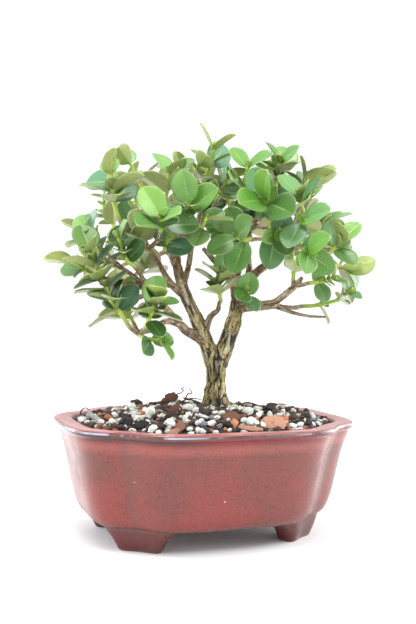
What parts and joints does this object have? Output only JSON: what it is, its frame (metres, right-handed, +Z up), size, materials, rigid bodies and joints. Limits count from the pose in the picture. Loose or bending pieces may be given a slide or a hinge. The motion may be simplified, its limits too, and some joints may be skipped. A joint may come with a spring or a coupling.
{
  "type": "potted bonsai tree",
  "caption": "Natal plum bonsai: short forked trunk with rounded leathery leaves in opposite pairs, in a lobed oblong glazed pot on bracket feet.",
  "frame": {"origin": "middle of the object's box at the ground, under the pot's feet", "axes": "+Z up, +X along the pot's length, +Y along the pot's depth, the front at -Y"},
  "size_m": [0.2438, 0.205, 0.284],
  "materials": {
    "glaze": "glossy mottled oxblood glaze",
    "screen": "matte black mesh",
    "soil": "dry loose mix of bark chips, peat and perlite grains",
    "bark": "rough fissured bark",
    "leaf": "glossy leathery green leaf"
  },
  "bodies": {
    "root": {"pot": "glaze", "drain_screen_left": "screen", "drain_screen_right": "screen", "soil": "soil", "trunk": "bark", "shoot_01": "leaf", "shoot_02": "leaf", "shoot_03": "leaf", "shoot_04": "leaf", "shoot_05": "leaf", "shoot_06": "leaf", "shoot_07": "leaf", "shoot_08": "leaf", "shoot_09": "leaf", "shoot_10": "leaf", "shoot_11": "leaf", "shoot_12": "leaf", "shoot_13": "leaf", "shoot_14": "leaf", "shoot_15": "leaf", "shoot_16": "leaf", "shoot_17": "leaf", "shoot_18": "leaf", "shoot_19": "leaf", "shoot_20": "leaf", "shoot_21": "leaf", "shoot_22": "leaf", "shoot_23": "leaf", "shoot_24": "leaf", "shoot_25": "leaf", "shoot_26": "leaf", "shoot_27": "leaf", "shoot_28": "leaf", "shoot_29": "leaf", "shoot_30": "leaf", "shoot_31": "leaf", "shoot_32": "leaf", "shoot_33": "leaf", "shoot_34": "leaf", "shoot_35": "leaf", "shoot_36": "leaf", "shoot_37": "leaf", "shoot_38": "leaf", "shoot_39": "leaf", "shoot_40": "leaf", "shoot_41": "leaf", "shoot_42": "leaf", "shoot_43": "leaf", "shoot_44": "leaf", "shoot_45": "leaf", "shoot_46": "leaf", "shoot_47": "leaf", "shoot_48": "leaf", "shoot_49": "leaf", "shoot_50": "leaf", "shoot_51": "leaf", "shoot_52": "leaf", "shoot_53": "leaf", "shoot_54": "leaf", "shoot_55": "leaf"}
  },
  "joints": []
}
